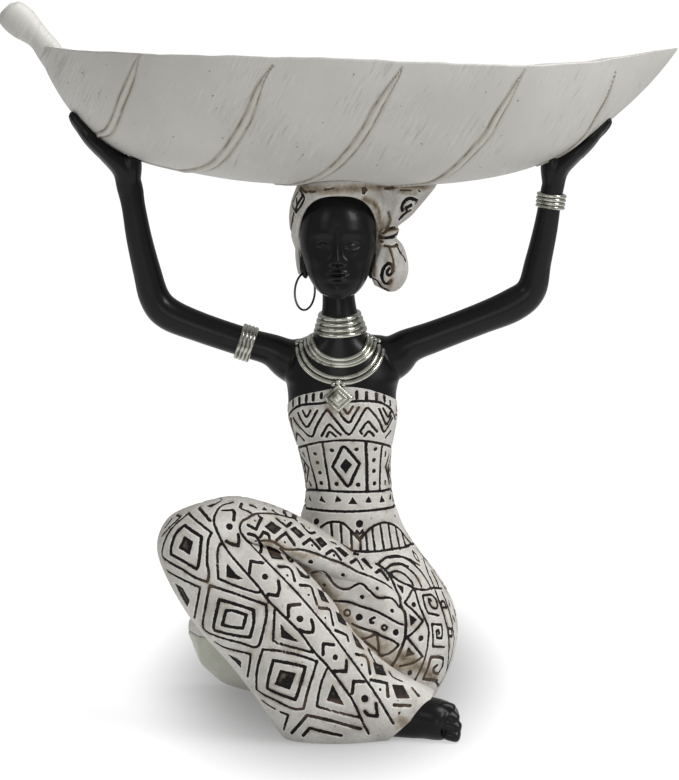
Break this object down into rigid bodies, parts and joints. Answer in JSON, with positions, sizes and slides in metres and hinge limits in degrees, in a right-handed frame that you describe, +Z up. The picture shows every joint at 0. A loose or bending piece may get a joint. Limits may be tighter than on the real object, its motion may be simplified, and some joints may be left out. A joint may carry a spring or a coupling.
{
  "type": "lady holder figurine",
  "caption": "Seated woman in a patterned dress holding a leaf-shaped bowl up on both hands and her wrapped head.",
  "frame": {"origin": "on the flat underside of the figure, below her neck", "axes": "+Z up, -Y the way she faces, +X to her left, along the bowl from its stem to its tip"},
  "size_m": [0.2736, 0.1086, 0.2953],
  "materials": {
    "skin_black": "satin black paint on cast resin",
    "dress_white": "matt off-white paint on cast resin, with carved pattern",
    "pattern_dark": "dark brown paint wiped into the carved lines",
    "silver_paint": "bright silver paint on cast resin",
    "plain_resin": "plain pale grey-green gloss",
    "bowl_white": "satin off-white paint on cast resin, brushed, with brown in the vein grooves",
    "steel_wire": "dark steel wire"
  },
  "bodies": {
    "root": {"figure": "skin_black", "leaf_bowl": "bowl_white", "hoop_earring": "steel_wire"}
  },
  "joints": []
}
